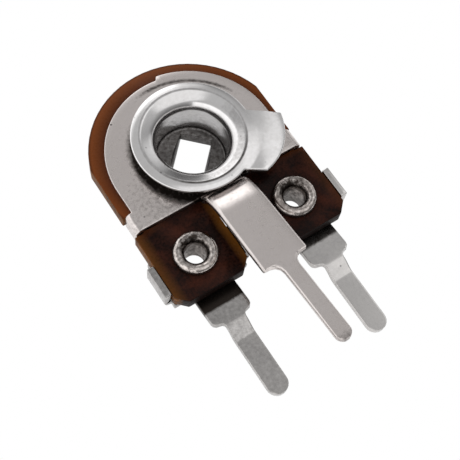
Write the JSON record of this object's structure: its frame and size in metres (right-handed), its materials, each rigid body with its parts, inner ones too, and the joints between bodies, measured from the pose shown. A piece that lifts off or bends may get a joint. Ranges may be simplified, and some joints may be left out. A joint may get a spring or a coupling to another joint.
{
  "type": "trimmer potentiometer",
  "caption": "Open-frame carbon trimmer potentiometer: a brown board, a drawn metal rotor with a stop tab and a rectangular tool hole, and flat solder pins on riveted and raised sheet terminals.",
  "frame": {"origin": "on the rotor's axis, at the board's front face", "axes": "+Z out of the front along the rotor's axis, the pins point along -Y, +X to the right seen from the front with the pins down"},
  "size_m": [0.0092, 0.0152, 0.0034],
  "materials": {
    "board": "glossy resin-bonded paper, near-black brown with amber edges",
    "carbon": "matte carbon film",
    "collector_sheet": "satin tin plate",
    "terminal_sheet": "satin tin plate, finely mottled",
    "eyelet_metal": "bright plate, crinkled where it is rolled",
    "rotor_sheet": "bright nickel plate",
    "spring_sheet": "pale spring bronze"
  },
  "bodies": {
    "stator": {"base_board": "board", "resistive_track": "carbon", "collector_plate": "collector_sheet", "end_terminal_left": "terminal_sheet", "end_terminal_right": "terminal_sheet", "eyelet_left": "eyelet_metal", "eyelet_right": "eyelet_metal"},
    "turning_set": {"rotor": "rotor_sheet", "wiper_spring": "spring_sheet"}
  },
  "joints": [
    {"name": "rotor_turn", "type": "hinge", "parent": "stator", "child": "turning_set", "pos_m": [0, 0, 0], "axis": [0, 0, 1], "range_deg": [-3.5, 252]}
  ]
}
